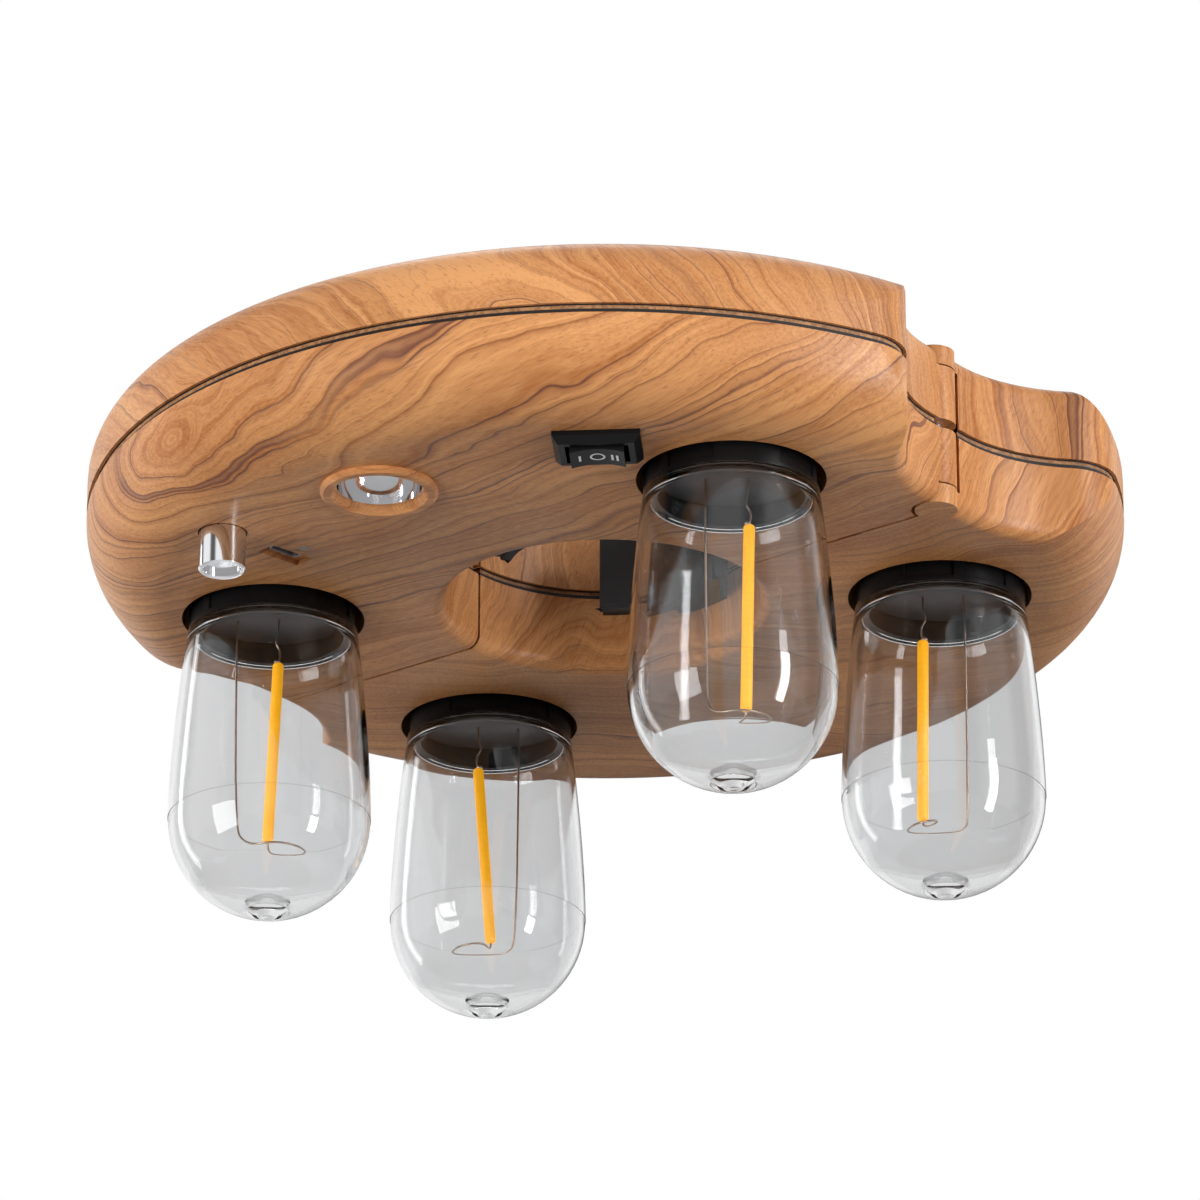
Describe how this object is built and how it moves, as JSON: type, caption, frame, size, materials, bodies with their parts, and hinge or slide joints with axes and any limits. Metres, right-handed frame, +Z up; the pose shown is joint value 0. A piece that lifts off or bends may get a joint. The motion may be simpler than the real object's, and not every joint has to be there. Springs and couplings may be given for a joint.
{
  "type": "patio umbrella light",
  "caption": "Round wood-look light ring that hinges closed round an umbrella pole, with hanging clear filament bulbs, a spotlight, switches and a charging socket.",
  "frame": {"origin": "on the umbrella pole's axis, at the middle height of the grip's two pads", "axes": "+Z up along the pole, +X towards the hinge, -Y towards the front half with the spotlight and switches"},
  "size_m": [0.2412, 0.26, 0.1218],
  "materials": {
    "wood_look_plastic": "satin printed wood grain",
    "steel": "plated",
    "black_plastic": "fine satin",
    "grip_rubber": "matte",
    "bright_chrome": "polished",
    "socket_metal": "plated",
    "clear_plastic": "clear, polished",
    "circuit_board": "solder mask",
    "led_board": "white board with a yellow emitter",
    "cell_wrap": "shrink wrap",
    "filament_coat": "amber coating",
    "lead_wire": "bare wire"
  },
  "bodies": {
    "front_half": {"front_lower_shell": "wood_look_plastic", "front_upper_shell": "wood_look_plastic", "front_shell_screws": "steel", "latch_pin": "steel", "spot_trim_ring": "wood_look_plastic", "spot_reflector": "bright_chrome", "spot_led": "led_board", "rocker_switch_housing": "black_plastic", "push_button_spring": "steel", "usb_socket": "socket_metal", "charge_light_pipe": "clear_plastic", "main_board": "circuit_board", "front_jaw_spring": "steel", "bulb_1_collar": "black_plastic", "bulb_1_glass": "clear_plastic", "bulb_1_disc": "black_plastic", "bulb_1_filament": "filament_coat", "bulb_1_leads": "lead_wire", "bulb_3_collar": "black_plastic", "bulb_3_glass": "clear_plastic", "bulb_3_disc": "black_plastic", "bulb_3_filament": "filament_coat", "bulb_3_leads": "lead_wire"},
    "rear_half": {"rear_lower_shell": "wood_look_plastic", "rear_upper_shell": "wood_look_plastic", "rear_shell_screws": "steel", "hinge_pin": "steel", "battery_tray": "black_plastic", "battery_cells": "cell_wrap", "rear_jaw_spring": "steel", "bulb_2_collar": "black_plastic", "bulb_2_glass": "clear_plastic", "bulb_2_disc": "black_plastic", "bulb_2_filament": "filament_coat", "bulb_2_leads": "lead_wire", "bulb_4_collar": "black_plastic", "bulb_4_glass": "clear_plastic", "bulb_4_disc": "black_plastic", "bulb_4_filament": "filament_coat", "bulb_4_leads": "lead_wire"},
    "latch": {"latch_hook": "wood_look_plastic"},
    "rocker": {"rocker": "black_plastic"},
    "push_button": {"push_button": "bright_chrome"},
    "front_jaw": {"front_jaw": "black_plastic", "front_jaw_pad": "grip_rubber"},
    "rear_jaw": {"rear_jaw": "black_plastic", "rear_jaw_pad": "grip_rubber"}
  },
  "joints": [
    {"name": "ring_hinge", "type": "hinge", "parent": "front_half", "child": "rear_half", "pos_m": [0.1002, 0, 0], "axis": [0, 0, -1], "range_deg": [0, 90]},
    {"name": "latch_turn", "type": "hinge", "parent": "front_half", "child": "latch", "pos_m": [-0.1023, -0.011, 0], "axis": [0, 0, 1], "range_deg": [0, 75]},
    {"name": "rocker_tilt", "type": "hinge", "parent": "front_half", "child": "rocker", "pos_m": [0.0583, -0.0806, -0.0195], "axis": [-0.5446, 0.8387, 0], "range_deg": [-9, 9]},
    {"name": "button_press", "type": "slide", "parent": "front_half", "child": "push_button", "axis": [0, 0, 1], "range_m": [0, 0.0015], "stiffness_N_per_m": 500, "springref_m": -0.002, "deforming": ["push_button_spring"]},
    {"name": "front_jaw_slide", "type": "slide", "parent": "front_half", "child": "front_jaw", "axis": [0, -1, 0], "range_m": [0, 0.005], "stiffness_N_per_m": 1500, "springref_m": -0.004, "deforming": ["front_jaw_spring"]},
    {"name": "rear_jaw_slide", "type": "slide", "parent": "rear_half", "child": "rear_jaw", "axis": [0, 1, 0], "range_m": [0, 0.005], "stiffness_N_per_m": 1500, "springref_m": -0.004, "deforming": ["rear_jaw_spring"]}
  ]
}
